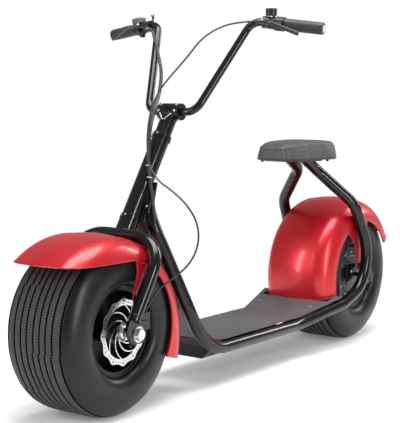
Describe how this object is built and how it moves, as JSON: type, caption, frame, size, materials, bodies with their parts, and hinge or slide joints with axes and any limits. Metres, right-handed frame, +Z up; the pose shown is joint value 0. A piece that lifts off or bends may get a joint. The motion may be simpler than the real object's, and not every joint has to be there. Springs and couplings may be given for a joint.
{
  "type": "electric scooter",
  "caption": "Sit-on electric scooter with two fat tyres, tube frame, flat deck, single seat, high handlebar and rounded fenders.",
  "frame": {"origin": "on the ground under the middle of the wheelbase", "axes": "+X forward, +Y to the rider's left, +Z up"},
  "size_m": [1.746, 0.7576, 1.0847],
  "materials": {
    "red_paint": "satin metallic red",
    "black_paint": "gloss black",
    "black_tyre": "satin sidewall, ribbed tread",
    "black_rim": "semi-gloss black",
    "motor_grey": "dark grey cast cover",
    "bright_steel": "brushed steel",
    "deck_grey": "matt dark grey",
    "black_plastic": "matt black",
    "dark_metal": "dark grey anodised",
    "grip_rubber": "matt rubber",
    "seat_cover": "dark grey leatherette",
    "black_cable": "satin cable jacket"
  },
  "bodies": {
    "frame": {"head_tube": "black_paint", "left_rail": "black_paint", "right_rail": "black_paint", "neck_gusset": "black_paint", "deck_plate": "deck_grey", "deck_crossbars": "black_paint", "battery_box": "black_plastic", "front_panel": "deck_grey", "seat_plate": "black_paint", "seat_cushion": "seat_cover", "rear_fender": "red_paint", "left_axle_plate": "black_paint", "right_axle_plate": "black_paint", "rear_axle": "bright_steel", "rear_caliper": "dark_metal", "frame_loom": "black_cable"},
    "steering": {"fork": "black_paint", "stem": "black_paint", "handlebar": "black_paint", "left_grip": "grip_rubber", "right_grip": "grip_rubber", "left_switch": "black_plastic", "right_switch": "black_plastic", "left_brake_lever": "dark_metal", "right_brake_lever": "dark_metal", "bell": "black_plastic", "front_fender": "red_paint", "front_axle": "bright_steel", "front_caliper": "dark_metal", "front_brake_cable": "black_cable", "rear_brake_cable": "black_cable"},
    "front_wheel": {"front_tyre": "black_tyre", "front_rim": "black_rim", "front_disc": "bright_steel"},
    "rear_wheel": {"rear_tyre": "black_tyre", "rear_hub_motor": "motor_grey", "rear_disc": "bright_steel"}
  },
  "joints": [
    {"name": "steering_turn", "type": "hinge", "parent": "frame", "child": "steering", "pos_m": [0.6658, 0, 0.228], "axis": [-0.5388, 0, 0.8425], "range_deg": [-40, 40]},
    {"name": "front_wheel_spin", "type": "hinge", "parent": "steering", "child": "front_wheel", "pos_m": [0.645, 0, 0.228], "axis": [0, 1, 0], "continuous": true},
    {"name": "rear_wheel_spin", "type": "hinge", "parent": "frame", "child": "rear_wheel", "pos_m": [-0.645, 0, 0.228], "axis": [0, 1, 0], "continuous": true}
  ]
}
